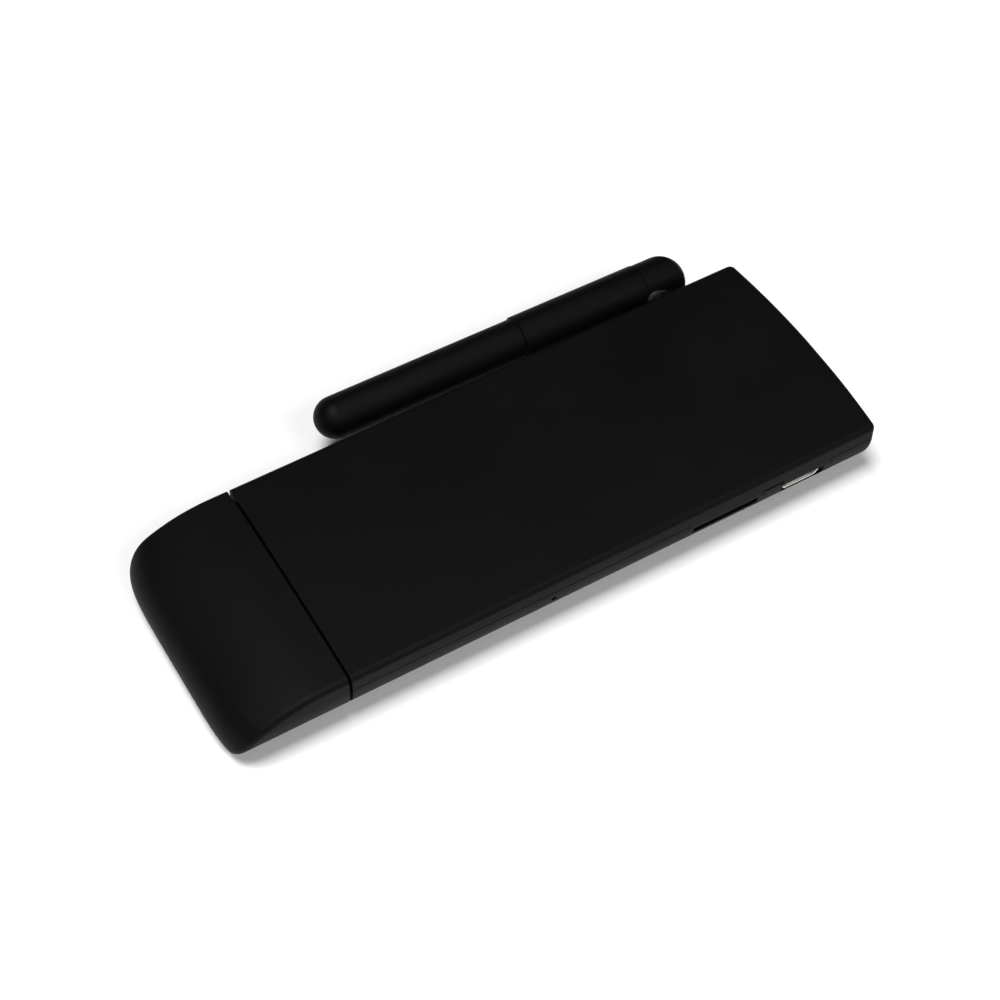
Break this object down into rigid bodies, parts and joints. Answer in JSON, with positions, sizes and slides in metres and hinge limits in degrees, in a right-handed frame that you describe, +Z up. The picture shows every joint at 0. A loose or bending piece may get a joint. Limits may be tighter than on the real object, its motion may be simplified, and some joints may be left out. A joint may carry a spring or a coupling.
{
  "type": "streaming stick",
  "caption": "Flat plug-in streaming stick: two-part housing with a pull-off cap over its plug, side ports and a rod antenna that swivels beside it",
  "frame": {"origin": "the middle of the housing's flat base, without the cap", "axes": "+X runs along the housing away from the cap, +Y across it towards the antenna, +Z up through its top"},
  "size_m": [0.1121, 0.0494, 0.0121],
  "materials": {
    "shell_plastic": "soft-touch matte black",
    "antenna_plastic": "matte black",
    "plated_steel": "nickel-plated sheet",
    "chrome": "polished",
    "spring_steel": "dark plated",
    "insulator_plastic": "moulded black",
    "switch_plastic": "moulded black",
    "contact_gold": "gold plated",
    "board_laminate": "green solder mask",
    "chip_resin": "moulded resin",
    "ferrite": "grey ferrite",
    "capacitor_ceramic": "tan ceramic",
    "crystal_can": "bare metal can",
    "pad_rubber": "soft grey-blue",
    "spreader_aluminium": "plain rolled",
    "brass": "bare",
    "lead_jacket": "black jacket"
  },
  "bodies": {
    "housing": {"top_shell": "shell_plastic", "bottom_shell": "shell_plastic", "av_plug_shell": "plated_steel", "host_socket_shell": "plated_steel", "power_socket_shell": "plated_steel", "card_socket_cover": "plated_steel", "radio_shield": "plated_steel", "antenna_bush": "chrome", "bush_nut": "chrome", "board_screws": "spring_steel", "av_plug_insulator": "insulator_plastic", "power_socket_tongue": "insulator_plastic", "host_socket_tongue": "insulator_plastic", "card_socket_body": "insulator_plastic", "reset_switch_body": "switch_plastic", "av_plug_contacts": "contact_gold", "card_contacts": "contact_gold", "power_contacts": "contact_gold", "host_contacts": "contact_gold", "board_connector": "contact_gold", "lead_connector": "contact_gold", "main_board": "board_laminate", "radio_module": "board_laminate", "processor_chip": "chip_resin", "memory_chips": "chip_resin", "flash_chip": "chip_resin", "power_chip": "chip_resin", "inductors": "ferrite", "capacitors": "capacitor_ceramic", "resistors": "capacitor_ceramic", "crystals": "crystal_can", "heat_pad": "pad_rubber", "heat_spreader": "spreader_aluminium", "antenna_lead": "lead_jacket"},
    "cap": {"plug_cap": "shell_plastic"},
    "antenna": {"antenna_knuckle": "antenna_plastic", "antenna_sleeve": "antenna_plastic", "radiator_sleeve": "brass", "radiator_wire": "brass", "feed_wire": "brass", "pivot_shaft": "chrome", "pivot_clip": "spring_steel", "friction_washer": "switch_plastic"},
    "reset_button": {"reset_plunger": "switch_plastic"}
  },
  "joints": [
    {"name": "cap_pull", "type": "slide", "parent": "housing", "child": "cap", "axis": [-1, 0, 0], "range_m": [0, 0.02]},
    {"name": "antenna_swing", "type": "hinge", "parent": "housing", "child": "antenna", "pos_m": [0.03213, 0.02582, 0.0075], "axis": [0, 1, 0], "range_deg": [-1.15, 178.85]},
    {"name": "reset_press", "type": "slide", "parent": "housing", "child": "reset_button", "axis": [0, 1, 0], "range_m": [0, 0.00025], "stiffness_N_per_m": 2000}
  ]
}
